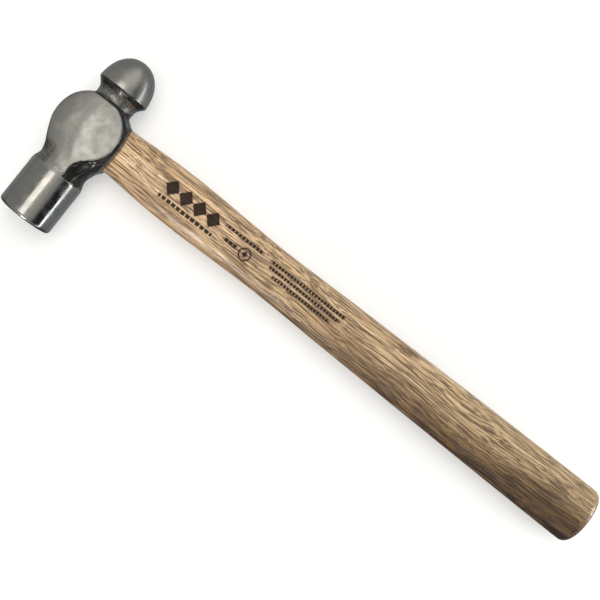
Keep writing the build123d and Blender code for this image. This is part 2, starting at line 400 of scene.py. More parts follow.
def head_field(low, shape):
    """Distance field of the head on a grid."""
    axes = [(low[i] + VOXEL * np.arange(shape[i])).astype(np.float32) for i in range(3)]
    x, y, z = np.meshgrid(*axes, indexing="ij")
    height = np.abs(z)
    turned_at = turned_lookup(low, shape)
    shift = PEEN_SHIFT * smoothstep(*PEEN_SHIFT_SPAN, y)
    turned = turned_at(np.sqrt((x - shift) ** 2 + z * z), y)
    plan = np.sqrt((x - DISC_CENTRE[0]) ** 2 + (y - DISC_CENTRE[1]) ** 2) - DISC_RADIUS
    cheek = (height - cheek_level(x, y)) * CHEEK_SCALE
    top = ground_top(x, y, z, cheek, turned_at)

    fillet = PEEN_FILLET + FACE_FILLET_MORE * smoothstep(*FILLET_SPAN, y)
    body = smooth_min(turned, forged_disc(plan, cheek, height), fillet)
    collar = smooth_max(oval(y - DISC_CENTRE[1], z, *COLLAR), COLLAR_X - x, COLLAR_EDGE)
    body = smooth_min(body, collar, COLLAR_BLEND)
    body = smooth_max(body, -forged_scoop(x, y, height), SCOOP_EDGE)
    # the forged fillets stay under the ground surfaces, which end before the ball's neck
    body = np.where(y < CHEEK_END_Y, smooth_max(body, top + UNDER_TOP, UNDER_TOP_EDGE), body)
    body = smooth_min(body, ground_part(x, y, plan, top), GROUND_SEAM)
    body = smooth_max(body, x - rim_level(y), RIM_EDGE)
    return smooth_max(body, -oval(y, z, *eye_axes(x)), EYE_EDGE)


def head_surface():
    """Points in mm and quads of the head's surface."""
    margin = 1.5
    low = np.array([HEAD_LOW.x - margin, HEAD_LOW.y - margin, -CHEEK_Z - margin])
    high = np.array([HEAD_HIGH.x + margin, HEAD_HIGH.y + margin, CHEEK_Z + margin])
    shape = np.ceil((high - low) / VOXEL).astype(int) + 1
    field = np.clip(head_field(low, shape), -FIELD_LIMIT, FIELD_LIMIT)
    grid = openvdb.FloatGrid(FIELD_LIMIT)
    grid.copyFromArray(np.ascontiguousarray(field, dtype=np.float32))
    points, quads = grid.convertToQuads(isovalue=0.0)
    return low + points.astype(float) * VOXEL, quads


def mesh_object(name, points_mm, faces):
    """A smooth shaded object from points in mm about the crossing of the axes."""
    mesh = bpy.data.meshes.new(name)
    where = np.asarray(points_mm) * MM + np.array(CROSSING)
    mesh.from_pydata(where.tolist(), [], [tuple(int(i) for i in f) for f in faces])
    mesh.validate()
    mesh.update()
    mesh.shade_smooth()
    piece = bpy.data.objects.new(name, mesh)
    bpy.context.collection.objects.link(piece)
    return piece


def vertex_normals(points, quads):
    """Unit normals at the points, averaged over the quads by area."""
    a, b, c, d = (points[quads[:, i]] for i in range(4))
    face = np.cross(c - a, d - b)
    normals = np.zeros_like(points)
    for i in range(4):
        np.add.at(normals, quads[:, i], face)
    return normals / np.maximum(np.linalg.norm(normals, axis=1, keepdims=True), 1e-12)


def ground_mask(points, normals):
    """1 where the steel is ground bright, 0 where the dark forged skin is left; lowered on the back of the
    face's neck as painted shade.
    """
    x, y = points[:, 0], points[:, 1]
    ragged = relief(points, RAGGED_EDGE)
    ragged_y = y + NECK_RAGGED * ragged
    cylinder = smoothstep(*CYLINDER_SPAN, ragged_y)
    ball = smoothstep(*BALL_SPAN, y + BALL_RAGGED * ragged)
    peen_neck = PEEN_NECK_SHARE * smoothstep(*PEEN_NECK_IN_SPAN, ragged_y)
    peen_neck = peen_neck * smoothstep(*PEEN_NECK_OUT_SPAN, ragged_y)

    region = smoothstep(*REGION_SPAN, ground_region(x, y) + REGION_RAGGED * ragged)
    facing = smoothstep(*FACING_SPAN, np.abs(normals[:, 2]))
    back = smoothstep(*BACK_SPAN, x)
    neck_side = smoothstep(*NECK_SIDE_SPAN, y) * NECK_SIDE_SHARE
    neck_back_shade = smoothstep(*NECK_BACK_SHADE_X_SPAN, x) * smoothstep(*NECK_BACK_SHADE_Y_SPAN, y)
    cheek = region * np.maximum(facing, np.maximum(back, neck_side))
    # painted shade: the back of the face's neck is darkened by taking it partly out of the ground mask
    cheek = cheek * smoothstep(*PAD_END_SPAN, y) * (1 - NECK_BACK_SHADE * neck_back_shade)

    mask = np.maximum.reduce([cylinder, ball, cheek, peen_neck])
    land = smoothstep(*LAND_SPAN, np.abs(x - rim_level(y))) * (np.abs(normals[:, 0]) > LAND_FACING)
    return np.clip(np.maximum(mask, LAND_SHARE * land), 0, 1)


def turned_mask(y):
    """1 on the turned striking cylinder, and half as much on the ball."""
    return smoothstep(*TURNED_CYLINDER_SPAN, y) + TURNED_BALL_SHARE * smoothstep(*TURNED_BALL_SPAN, y)


def head_relief(points, ground):
    """How far each point is raised: forging lumps, waves from grinding, and nicks along two edges."""
    y = points[:, 1]
    lumps = relief(points, FORGED_LUMPS)
    past_shoulder = smoothstep(*CHEEK_GRINDING_SPAN, y)
    before_ball = smoothstep(*BALL_GRINDING_SPAN, y)
    grinding = relief(points, GRINDING)
    grinding = grinding * (TURNED_GRINDING + (1 - TURNED_GRINDING) * past_shoulder * before_ball)
    nick_line = np.exp(-((y - BALL_RIM_Y + BALL_NICKS[0]) / BALL_NICKS[1]) ** 2)
    nick_line = nick_line + SHOULDER_NICK_SHARE * np.exp(-((y - SHOULDER_Y) / SHOULDER_NICKS) ** 2)
    nicks = -NICK_DEPTH * nick_line * np.clip(waves(points, NICK_LENGTH, NICK_SEED) - NICK_THRESHOLD, 0, 1)
    return (1 - ground) * lumps + ground * grinding + nicks


def make_head():
    """The forged head, with its finish stored in two attributes for the material; the ground mask also
    carries painted shade on the back of the face's neck.
    """
    points, quads = head_surface()
    normals = vertex_normals(points, quads)
    if np.einsum("ij,ij->i", normals, points - points.mean(0)).sum() < 0:
        quads = quads[:, ::-1]
        normals = -normals
    ground = ground_mask(points, normals)
    turned = turned_mask(points[:, 1])
    raised = points + normals * head_relief(points, ground)[:, None]
    head = mesh_object("forged_head", raised, quads)
    for name, values in (("ground", ground), ("turned", turned)):
        attribute = head.data.attributes.new(name, "FLOAT", "POINT")
        attribute.data.foreach_set("value", values.astype(np.float32))
    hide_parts("head")
    return head


# ---- handle ----

AROUND = 176                # points in each ring
GRIP_TOP_X = RIM_X + 1.0    # the CAD handle is measured from here
MEASURED_SHORT = 6.0        # to this far before the butt
RAY_START = 0.05            # metres from its axis, well outside it
MEASURED_STATIONS = 75
BUTT_DOME = 0.2             # the middle of the butt stands this far beyond the edge of its flat
BUTT_ROUND = (5.0, 2.6)     # how far the butt's edge is rounded across the width and the thickness
BUTT_EDGE_GAP = 0.8         # gap between the butt's rounded edge and the first ring of the grip
BUTT_FLAT_RINGS = 22
BUTT_EDGE_RINGS = 16
GRIP_RINGS = 380
TENON_RINGS = 30
END_RINGS = 26
# rings that close the grip under the head: beyond the rim, narrower, thinner
RIM_RINGS = ((0.6, 0.0, 0.0), (0.3, 0.0, 0.0), (0.12, 0.15, 0.15), (0.05, 0.5, 0.4))
TENON_START = 3.2           # the tenon's rings begin this far inside the eye's mouth
TENON_STOP = 5.5            # and stop this far from its top
TENON_GAP = 0.12            # the tenon is this much smaller than the eye
TENON_END_GAP = 0.25        # and this much at its end
TENON_END_EDGE = 0.5        # the end's edge is eased over this
TENON_RECESS = 0.6          # its end lies this much under the head's back


def handle_sizes():
    """Half width and half thickness of the CAD handle along its length, as (x, half y, half z) rows."""
    node = bpy.data.objects["handle"]
    tree = BVHTree.FromObject(node, bpy.context.evaluated_depsgraph_get())
    rows = []
    for x in np.linspace(GRIP_TOP_X, BUTT_X - MEASURED_SHORT, MEASURED_STATIONS):
        centre = CROSSING + Vector((x * MM, 0, 0))
        reach = []
        for direction in (Vector((0, 1, 0)), Vector((0, 0, 1))):
            outside = centre + direction * RAY_START
            hit = tree.ray_cast(outside, -direction)[0]
            reach.append((hit - centre).length / MM)
        rows.append((x, *reach))
    rows = np.array(rows)
    kernel = np.array([1, 2, 3, 2, 1]) / 9
    for column in (1, 2):
        padded = np.pad(rows[:, column], 2, mode="reflect", reflect_type="odd")
        rows[:, column] = np.convolve(padded, kernel, mode="valid")
    return rows


def ring(x, half_y, half_z):
    """One ring of points round the handle; x may be a number or a function of y."""
    angle = 2 * math.pi * np.arange(AROUND) / AROUND
    y = half_y * np.cos(angle)
    z = half_z * np.sin(angle)
    along = x(y) if callable(x) else np.full(AROUND, x)
    return np.stack([along, y, z], 1)


def butt_rings(half):
    """From near the middle of the butt out over its rounded edge."""
    end_y, end_z = half(BUTT_X)
    flat_y, flat_z = end_y - BUTT_ROUND[0], end_z - BUTT_ROUND[1]
    rings = []
    for share in np.linspace(0.04, 0.97, BUTT_FLAT_RINGS):
        rings.append(ring(BUTT_X - BUTT_DOME * share ** 2, share * flat_y, share * flat_z))
    for angle in np.linspace(0, math.pi / 2, BUTT_EDGE_RINGS):
        along = BUTT_X - BUTT_DOME - (BUTT_ROUND[0] - BUTT_DOME) * (1 - math.cos(angle))
        out = math.sin(angle)
        rings.append(ring(along, flat_y + BUTT_ROUND[0] * out, flat_z + BUTT_ROUND[1] * out))
    return rings


def grip_rings(half):
    """Up the grip from the butt, and in under the rim of the eye."""
    first = BUTT_X - BUTT_ROUND[0] - BUTT_EDGE_GAP
    rings = [ring(x, *half(x)) for x in np.linspace(first, GRIP_TOP_X, GRIP_RINGS)]
    top_y, top_z = half(GRIP_TOP_X)
    for beyond, narrower, thinner in RIM_RINGS:
        rings.append(ring(lambda y, gap=beyond: rim_level(y) + gap, top_y - narrower, top_z - thinner))
    return rings


def end_grain(y):
    """Where the tenon's sanded end lies, following the round back of the head."""
    return DISC_CENTRE[0] - np.sqrt((DISC_RADIUS - TENON_RECESS) ** 2 - (y - DISC_CENTRE[1]) ** 2)


def tenon_rings():
    """Through the eye and in over the tenon's end."""
    rings = []
    for x in np.linspace(RIM_X - TENON_START, TOP_X + TENON_STOP, TENON_RINGS):
        half_y, half_z = eye_axes(x)
        rings.append(ring(x, half_y - TENON_GAP, half_z - TENON_GAP))
    half_y, half_z = EYE_TOP[0] - TENON_END_GAP, EYE_TOP[1] - TENON_END_GAP
    rings.append(ring(lambda y: end_grain(y) + TENON_END_EDGE, half_y, half_z))
    for share in np.linspace(0.985, 0.03, END_RINGS):
        rings.append(ring(end_grain, share * half_y, share * half_z))
    return rings


def make_handle():
    """The handle as one skin of rings, from the butt up through the eye."""
    sizes = handle_sizes()

    def half(x):
        return np.interp(x, sizes[:, 0], sizes[:, 1]), np.interp(x, sizes[:, 0], sizes[:, 2])

    rings = butt_rings(half) + grip_rings(half) + tenon_rings()
    points = np.vstack(rings)
    faces = []
    for r in range(len(rings) - 1):
        for i in range(AROUND):
            j = (i + 1) % AROUND
            faces.append((r * AROUND + i, r * AROUND + j, (r + 1) * AROUND + j, (r + 1) * AROUND + i))
    butt_centre = len(points)
    top_centre = butt_centre + 1
    points = np.vstack([points, [[BUTT_X, 0, 0]], [[float(end_grain(0.0)), 0, 0]]])
    last = (len(rings) - 1) * AROUND
    for i in range(AROUND):
        j = (i + 1) % AROUND
        faces.append((butt_centre, j, i))
        faces.append((last + i, last + j, top_centre))
    handle = mesh_object("oak_handle", points, faces)
    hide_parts("handle")
    return handle


# ---- materials ----

class Graph:
    """Short calls for building a node tree."""

    def __init__(self, tree):
        self.tree = tree
        tree.nodes.clear()

    def node(self, kind, inputs=None, **settings):
        node = self.tree.nodes.new(kind)
        for key, value in settings.items():
            setattr(node, key, value)
        for key, value in (inputs or {}).items():
            self.put(node.inputs[key], value)
        return node

    def put(self, socket, value):
        if isinstance(value, bpy.types.NodeSocket):
            self.tree.links.new(value, socket)
        else:
            socket.default_value = value

    def math(self, operation, a, b=0.0, c=0.0, clamp=False):
        node = self.node("ShaderNodeMath", operation=operation, use_clamp=clamp)
        for i, value in enumerate((a, b, c)):
            self.put(node.inputs[i], value)
        return node.outputs[0]

    def vector(self, operation, a, b):
        return self.node("ShaderNodeVectorMath", {0: a, 1: b}, operation=operation).outputs[0]

    def step(self, low, high, value):
        """Smooth step of a value from 0 at low to 1 at high."""
        return self.node("ShaderNodeMapRange", {"Value": value, "From Min": low, "From Max": high},
                         interpolation_type="SMOOTHSTEP").outputs["Result"]

    def between(self, rise, fall, value):
        """1 between two soft edges: it rises over one span and falls over the other."""
        return self.math("MULTIPLY", self.step(*rise, value), self.step(*fall, value))

    def noise_node(self, vector, scale, detail=3.0, roughness=0.55):
        inputs = {"Vector": vector, "Scale": scale, "Detail": detail, "Roughness": roughness}
        return self.node("ShaderNodeTexNoise", inputs)

    def noise(self, *settings):
        return self.noise_node(*settings).outputs[0]

    def wobble(self, noise_node, amount):
        """A small displacement from a noise node's colour, up to half the amount either way."""
        centred = self.vector("SUBTRACT", noise_node.outputs["Color"], (0.5, 0.5, 0.5))
        return self.vector("MULTIPLY", centred, amount)

    def stretch(self, vector, scale, location=(0, 0, 0)):
        inputs = {"Vector": vector, "Scale": scale, "Location": location}
        return self.node("ShaderNodeMapping", inputs).outputs[0]

    def attribute(self, name):
        return self.node("ShaderNodeAttribute", attribute_name=name).outputs["Fac"]

    def ramp(self, value, stops):
        node = self.node("ShaderNodeValToRGB", {"Fac": value})
        elements = node.color_ramp.elements
        while len(elements) < len(stops):
            elements.new(0.5)
        for element, (position, colour) in zip(elements, stops):
            element.position = position
            element.color = (*colour, 1)
        return node.outputs[0]

    def mix(self, factor, a, b, blend="MIX"):
        node = self.node("ShaderNodeMix", data_type="RGBA", blend_type=blend)
        self.put(node.inputs["Factor"], factor)
        for socket, value in ((node.inputs[6], a), (node.inputs[7], b)):
            self.put(socket, value if isinstance(value, bpy.types.NodeSocket) else (*value, 1))
        return node.outputs[2]

    def tint(self, factor, colour, tint):
        """Multiplies the colour by a tint where the factor is 1."""
        return self.mix(factor, colour, self.mix(1.0, colour, tint, "MULTIPLY"))

    def bump(self, height, strength, distance):
        inputs = {"Strength": strength, "Distance": distance, "Height": height}
        return self.node("ShaderNodeBump", inputs).outputs[0]


def material(name):
    """A new material with its graph, its shader and the object coordinates.

    Those are in metres, so noise at a scale of 1000 has features of about a millimetre.
    """
    made = bpy.data.materials.new(name)
    made.use_nodes = True
    graph = Graph(made.node_tree)
    shader = graph.node("ShaderNodeBsdfPrincipled")
    output = graph.node("ShaderNodeOutputMaterial")
    graph.tree.links.new(shader.outputs[0], output.inputs[0])
    where = graph.node("ShaderNodeTexCoord").outputs["Object"]
    return made, graph, shader, where


GROUND_TONES = ((0.3, (0.29, 0.29, 0.285)), (0.7, (0.375, 0.365, 0.335)))
FORGED_TONES = ((0.3, (0.018, 0.018, 0.017)), (0.7, (0.050, 0.048, 0.045)))
FLECK_COLOUR = (0.16, 0.16, 0.155)
FLECKED_EDGE = 0.35         # how much the flecks add to the ground mask or take from it
BRIGHT_SPAN = (0.36, 0.66)  # the steel turns bright over this part of the mask
LEAST_ROUGHNESS = 0.12


def steel_roughness(g, bright, cloud, scratches, patchy):
    """Patchy where the steel is ground, smoother where it is turned, and glossy on the forged skin."""
    ground_rough = g.math("MULTIPLY_ADD", patchy, 0.5, -0.14)
    ground_rough = g.math("ADD", g.math("MULTIPLY", scratches, 0.10), ground_rough)
    ground_rough = g.math("ADD", ground_rough, g.math("MULTIPLY_ADD", g.attribute("turned"), -0.27, 0.30))
    ground_rough = g.math("MAXIMUM", ground_rough, LEAST_ROUGHNESS)
    forged_rough = g.math("MULTIPLY_ADD", cloud, 0.20, 0.10)
    return g.node("ShaderNodeMix", {0: bright, 2: forged_rough, 3: ground_rough}).outputs[0]


def steel_material():
    """Ground bright steel, with the dark forged skin left in the necks and round the eye."""
    made, g, shader, where = material("ground_and_forged_steel")
    fine = g.noise(where, 2600, 4)
    cloud = g.noise(where, 130, 4)
    patchy = g.noise(where, 220, 3)
    flecks = g.noise(where, 900, 2, 0.5)
    scratches = g.noise(g.stretch(where, (260, 5200, 260)), 1.0, 3, 0.6)
    mottle = g.noise(g.stretch(where, (900, 500, 900)), 1.0, 3, 0.5)
    flecked = g.math("MULTIPLY", g.math("SUBTRACT", flecks, 0.5), FLECKED_EDGE)
    bright = g.step(*BRIGHT_SPAN, g.math("ADD", g.attribute("ground"), flecked))

    ground_colour = g.ramp(cloud, GROUND_TONES)
    ground_colour = g.mix(g.math("MULTIPLY", g.step(0.62, 0.75, flecks), 0.25), ground_colour, FLECK_COLOUR)
    g.put(shader.inputs["Base Color"], g.mix(bright, g.ramp(cloud, FORGED_TONES), ground_colour))
    g.put(shader.inputs["Metallic"], g.math("MULTIPLY_ADD", bright, 0.35, 0.65))
    g.put(shader.inputs["Roughness"], steel_roughness(g, bright, cloud, scratches, patchy))

    height = g.math("ADD", g.math("MULTIPLY", scratches, g.math("MULTIPLY", bright, 0.5)),
                    g.math("MULTIPLY", fine, 0.35))
    height = g.math("ADD", height, g.math("MULTIPLY", mottle, g.math("MULTIPLY", bright, 1.6)))
    g.put(shader.inputs["Normal"], g.bump(height, 0.25, 0.00006))
    return made


# the burned decoration, in mm from the crossing of the axes
BURN_WANDER = (0.0004, 0.0004, 0.0004)      # in metres: how unsteady its outlines are
LOZENGES_X = (51.6, 60.1, 68.6, 77.1)
LOZENGES_Y = 2.6
LOZENGE_HALF = (4.15, 4.5)
LOZENGE_SCALE = 0.7         # turns the lozenge's measure into about a distance
DASH_SHARE = 0.72           # share of a row that is dash and not gap
# rows of dashes: middle x, middle y, half length, half height, half pitch
DASH_ROWS = (
    (64.3, -4.1, 16.6, 0.95, 1.5),
    (95.5, 4.9, 11.6, 0.75, 1.1),
    (91.0, -1.1, 3.9, 0.9, 1.3),
    (135.5, 4.6, 23.0, 0.8, 0.95),
    (135.5, 1.6, 22.0, 0.8, 0.95),
    (135.5, -1.5, 18.0, 0.8, 0.95),
)
CIRCLE_CENTRE = (99.9, -1.2)
CIRCLE_RADIUS = 3.1
CIRCLE_HALF_WIDTH = 0.32
SMALL_LOZENGE_HALF = (1.5, 1.5)
BURN_SPAN = (0.18, -0.12)   # the burn's edge, as a distance from the outline
HALO_SPAN = (0.9, 0.0)      # the wood is scorched this far round it
UPPER_SPAN = (0.001, 0.002)     # in metres: only the upper side is decorated


def burned_marks(g, where):
    """Plain burned decoration on the upper side of the handle: lozenges, rows of dashes and a circle."""
    place = g.vector("SUBTRACT", where, tuple(CROSSING))
    place = g.vector("ADD", place, g.wobble(g.noise_node(where, 1500, 2), BURN_WANDER))
    split = g.node("ShaderNodeSeparateXYZ", {0: place})
    x = g.math("MULTIPLY", split.outputs[0], 1 / MM)
    y = g.math("MULTIPLY", split.outputs[1], 1 / MM)

    def distance(value, centre):
        return g.math("ABSOLUTE", g.math("SUBTRACT", value, centre))

    def lozenge(cx, cy, half_x, half_y):
        across = g.math("MULTIPLY", distance(x, cx), 1 / half_x)
        up = g.math("MULTIPLY", distance(y, cy), 1 / half_y)
        beyond = g.math("SUBTRACT", g.math("ADD", across, up), 1.0)
        return g.math("MULTIPLY", beyond, min(half_x, half_y) * LOZENGE_SCALE)

    def dashes(cx, cy, half_x, half_y, half_pitch):
        bar = g.math("MAXIMUM", g.math("SUBTRACT", distance(x, cx), half_x),
                     g.math("SUBTRACT", distance(y, cy), half_y))
        gaps = g.math("SUBTRACT", g.math("PINGPONG", x, half_pitch), DASH_SHARE * half_pitch)
        return g.math("MAXIMUM", bar, gaps)

    def circle(cx, cy, radius, half_width):
        dx = g.math("SUBTRACT", x, cx)
        dy = g.math("SUBTRACT", y, cy)
        length = g.math("SQRT", g.math("ADD", g.math("MULTIPLY", dx, dx), g.math("MULTIPLY", dy, dy)))
        return g.math("SUBTRACT", distance(length, radius), half_width)

    shapes = [lozenge(cx, LOZENGES_Y, *LOZENGE_HALF) for cx in LOZENGES_X]
    shapes += [dashes(*row) for row in DASH_ROWS]
    shapes.append(circle(*CIRCLE_CENTRE, CIRCLE_RADIUS, CIRCLE_HALF_WIDTH))
    shapes.append(lozenge(*CIRCLE_CENTRE, *SMALL_LOZENGE_HALF))
    nearest = shapes[0]
    for shape in shapes[1:]:
        nearest = g.math("MINIMUM", nearest, shape)
    upper = g.step(*UPPER_SPAN, split.outputs[2])
    core = g.math("MULTIPLY", g.step(*BURN_SPAN, nearest), upper)
    halo = g.math("MULTIPLY", g.step(*HALO_SPAN, nearest), upper)
    return core, halo


OAK_TONES = ((0.34, (0.64, 0.415, 0.225)), (0.50, (0.77, 0.525, 0.30)), (0.68, (0.86, 0.62, 0.375)))
BROAD_COLOUR = (0.40, 0.24, 0.125)
PORE_COLOUR = (0.095, 0.043, 0.017)
FIBRE_COLOUR = (0.80, 0.60, 0.38)
BUTT_FALLOFF_SHADE_TINT = (0.73, 0.78, 0.75)
HEARTWOOD_AND_SHADE_TINT = (0.30, 0.215, 0.115)
STREAK_TINT = (0.34, 0.24, 0.15)
CORNER_TINT = (0.45, 0.37, 0.25)
HALO_COLOUR = (0.12, 0.06, 0.03)
BURN_COLOUR = (0.017, 0.009, 0.006)
# in mm from the crossing of the axes
FALLOFF_SHADE_SPAN = (40, 340)            # painted shade: the wood gets darker and browner along this stretch, where the light falls off towards the butt
DARK_SIDE_X_SPAN = (50, 230)        # and its side towards the face gets darker along this one, partly heartwood and partly painted shade
DARK_SIDE_Y_SPAN = (9, -15)
NEAR_BUTT_SPAN = (230, 310)
# in metres
GRAIN_BEND = (0.0, 0.010, 0.010)    # how far the grain wanders off the handle's line
PATCHY_SIDE = 0.030                 # how far patches shift the edge of the dark side
NEAR_BUTT_SHIFT = -0.005            # and how far it shifts near the butt


def oak_figure(g, grain, fibres):
    """Colour of clean oak, how much of a pore each place is, and the short pores' noise."""
    rings = g.noise(g.stretch(grain, (7, 430, 160)), 1.0, 2, 0.5)
    broad = g.noise(g.stretch(grain, (9, 110, 60), (4, 4, 4)), 1.0, 2, 0.5)
    pores = g.noise(g.stretch(grain, (60, 1800, 1800)), 1.0, 2, 0.6)
    long_pores = g.noise(g.stretch(grain, (28, 1250, 1250), (3, 1, 2)), 1.0, 2, 0.5)
    broad_share = g.math("MULTIPLY", g.step(0.60, 0.40, broad), 0.28)
    colour = g.mix(broad_share, g.ramp(rings, OAK_TONES), BROAD_COLOUR)

    # pores crowd into the early wood of each ring, and thin lines follow the rings
    early = g.step(0.60, 0.42, rings)
    short = g.math("MULTIPLY", g.step(0.53, 0.56, pores), g.math("MULTIPLY_ADD", early, 0.15, 0.80))
    long = g.math("MULTIPLY", g.step(0.56, 0.58, long_pores), g.math("MULTIPLY_ADD", early, 0.10, 0.88))
    contour = g.math("PINGPONG", g.math("MULTIPLY", rings, 4.0), 0.5)
    broken = g.math("MULTIPLY_ADD", g.step(0.42, 0.55, pores), 0.6, 0.4)
    lines = g.math("MULTIPLY", g.step(0.20, 0.03, contour), broken)
    pore = g.math("MAXIMUM", g.math("MAXIMUM", short, long), lines)
    colour = g.mix(g.math("MULTIPLY", pore, 0.95), colour, PORE_COLOUR)
    colour = g.mix(g.math("MULTIPLY", g.step(0.35, 0.65, fibres), 0.15), colour, FIBRE_COLOUR)
    return colour, pore, pores


def darker_wood(g, where, grain, colour):
    """Darker and browner towards the butt as painted shade, and darker on the side towards the face, partly
    heartwood and partly painted shade, with streaks there.
    """
    split = g.node("ShaderNodeSeparateXYZ", {0: where})
    x, y = split.outputs[0], split.outputs[1]

    def over(span, start, value):
        return g.step(start + span[0] * MM, start + span[1] * MM, value)

    patches = g.noise(g.stretch(grain, (32, 170, 170), (1, 5, 2)), 1.0, 3, 0.55)
    along = over(FALLOFF_SHADE_SPAN, CROSSING.x, x)
    near_butt = over(NEAR_BUTT_SPAN, CROSSING.x, x)
    dark_side = over(DARK_SIDE_X_SPAN, CROSSING.x, x)
    side = g.math("MULTIPLY_ADD", g.math("SUBTRACT", patches, 0.5), PATCHY_SIDE, y)
    side = g.math("MULTIPLY_ADD", near_butt, NEAR_BUTT_SHIFT, side)
    side = over(DARK_SIDE_Y_SPAN, CROSSING.y, side)
    # the side towards the face is darker, partly heartwood and partly painted shade
    heartwood_and_shade = g.math("MULTIPLY", g.math("MULTIPLY_ADD", dark_side, 0.92, 0.08), side)
    streak = g.math("MULTIPLY", g.step(0.49, 0.58, patches), g.math("MULTIPLY_ADD", heartwood_and_shade, 0.90, 0.10))
    # partly painted shade: the side towards the face is darkened further near the butt
    corner = g.math("MULTIPLY", near_butt, g.math("MULTIPLY", side, 0.6))
    # painted shade: darker and browner towards the butt, where the light falls off
    colour = g.tint(along, colour, BUTT_FALLOFF_SHADE_TINT)
    colour = g.tint(heartwood_and_shade, colour, HEARTWOOD_AND_SHADE_TINT)
    colour = g.tint(streak, colour, STREAK_TINT)
    return g.tint(corner, colour, CORNER_TINT)


def oak_material():
    """Lacquered oak: ring-porous grain along the handle, darker and browner towards the butt as painted
    shade, burned decoration.
    """
    made, g, shader, where = material("lacquered_oak")
    drift = g.noise_node(g.stretch(where, (14, 45, 45)), 1.0, 2, 0.5)
    grain = g.vector("ADD", where, g.wobble(drift, GRAIN_BEND))
    fibres = g.noise(g.stretch(grain, (200, 6000, 6000)), 1.0, 2, 0.5)
    colour, pore, pores = oak_figure(g, grain, fibres)
    colour = darker_wood(g, where, grain, colour)

    core, halo = burned_marks(g, where)
    colour = g.mix(g.math("MULTIPLY", halo, 0.35), colour, HALO_COLOUR)
    burned = g.math("MULTIPLY", core, g.math("MULTIPLY_ADD", pores, 0.12, 0.90))
    g.put(shader.inputs["Base Color"], g.mix(burned, colour, BURN_COLOUR))
    rough = g.math("MULTIPLY_ADD", pore, 0.2, 0.45)
    g.put(shader.inputs["Roughness"], g.math("ADD", rough, g.math("MULTIPLY", core, 0.5), clamp=True))
    g.put(shader.inputs["Coat Weight"], g.math("MULTIPLY_ADD", core, -0.42, 0.46))
    shader.inputs["Specular IOR Level"].default_value = 0.4
    shader.inputs["Coat Roughness"].default_value = 0.16

    height = g.math("SUBTRACT", g.math("MULTIPLY", fibres, 0.2), g.math("MULTIPLY", pore, 0.8))
    height = g.math("SUBTRACT", height, g.math("MULTIPLY", core, 0.9))
    g.put(shader.inputs["Normal"], g.bump(height, 0.45, 0.00014))
    ripples = g.noise(g.stretch(where, (190, 800, 800)), 1.0, 3, 0.55)
    g.put(shader.inputs["Coat Normal"], g.bump(ripples, 0.6, 0.0004))
    return made


def wedge_wood_material():
    """Pale wood with streaks along the handle's axis."""
    made, g, shader, where = material("wedge_beech")
    streaks = g.noise(g.stretch(where, (300, 1500, 2500)), 1.0, 3)
    colour = g.ramp(streaks, ((0.3, (0.36, 0.21, 0.10)), (0.7, (0.60, 0.42, 0.25))))
    g.put(shader.inputs["Base Color"], colour)
    g.put(shader.inputs["Roughness"], g.math("MULTIPLY_ADD", streaks, 0.2, 0.55))
    g.put(shader.inputs["Normal"], g.bump(streaks, 0.5, 0.0001))
    return made


def wedge_steel_material():
    """Bare dented steel."""
    made, g, shader, where = material("hammered_wedge_steel")
    dents = g.noise(where, 700, 3)
    colour = g.ramp(dents, ((0.3, (0.12, 0.115, 0.11)), (0.7, (0.33, 0.33, 0.32))))
    g.put(shader.inputs["Base Color"], colour)
    shader.inputs["Metallic"].default_value = 1.0
    g.put(shader.inputs["Roughness"], g.math("MULTIPLY_ADD", dents, 0.3, 0.25))
    g.put(shader.inputs["Normal"], g.bump(dents, 0.6, 0.0002))
    return made


def floor_material():
    """Nearly white, and lit a little from within so that it stays pale."""
    made, g, shader, where = material("pale_floor")
    tone = g.ramp(g.noise(where, 6, 3), ((0.3, (0.60, 0.60, 0.60)), (0.7, (0.63, 0.63, 0.63))))
    g.put(shader.inputs["Base Color"], tone)
    shader.inputs["Roughness"].default_value = 0.9
    shader.inputs["Specular IOR Level"].default_value = 0.1
    g.put(shader.inputs["Emission Color"], tone)
    shader.inputs["Emission Strength"].default_value = 0.62
    return made


def paint(piece, made):
    """Gives the piece this material and no other."""
    piece.data.materials.clear()
    piece.data.materials.append(made)


# ---- studio ----

FLOOR_HALF = 4.0            # metres
REST_SHORT = 10.0           # the butt touches the floor this far before its end, in mm

# the surroundings: spans in degrees from straight up, and colours
DARK_RISE, DARK_FALL = (43, 53), (87, 83)
HORIZON_RISE, HORIZON_FALL = (83, 86), (95, 90)
FRONT_RISE, FRONT_FALL = (70, 75), (86, 81)
TOP_RISE, TOP_FALL = (-20, 10), (50, 8)
GLOW_RISE, GLOW_FALL = (-60, 0), (65, 30)
WALL_COLOUR = (0.42, 0.42, 0.405)
GROUND_COLOUR = (0.36, 0.385, 0.39)
LOW_FRONT_COLOUR = (0.12, 0.12, 0.12)
TOP_COLOUR = (0.82, 0.81, 0.75)
GLOW_COLOUR = (1.0, 0.99, 0.93)
DARK_COLOUR = (0.012, 0.015, 0.02)
STRIP_COLOUR = (3.8, 3.95, 4.0)
BACKDROP_COLOUR = (0.90, 0.90, 0.90)
WARM_WHITE = (1.0, 0.96, 0.87)

CAMERA_PLACE = (135.5, -1.8, 605.0)     # mm from the crossing of the axes
CAMERA_TURN = 38.4                      # degrees


def make_floor():
    """A pale floor that both the head and the butt touch, so it rises very slightly towards the butt."""
    rise = (HANDLE_LOW.z - HEAD_LOW.z) / (BUTT_X - REST_SHORT)
    mesh = bpy.data.meshes.new("floor")
    corners = [(sx * FLOOR_HALF, sy * FLOOR_HALF) for sx, sy in ((-1, -1), (1, -1), (1, 1), (-1, 1))]
    mesh.from_pydata([(x, y, (x - CROSSING.x) * rise) for x, y in corners], [], [(0, 1, 2, 3)])
    floor = bpy.data.objects.new("floor", mesh)
    bpy.context.collection.objects.link(floor)
    paint(floor, floor_material())
    floor.visible_glossy = False


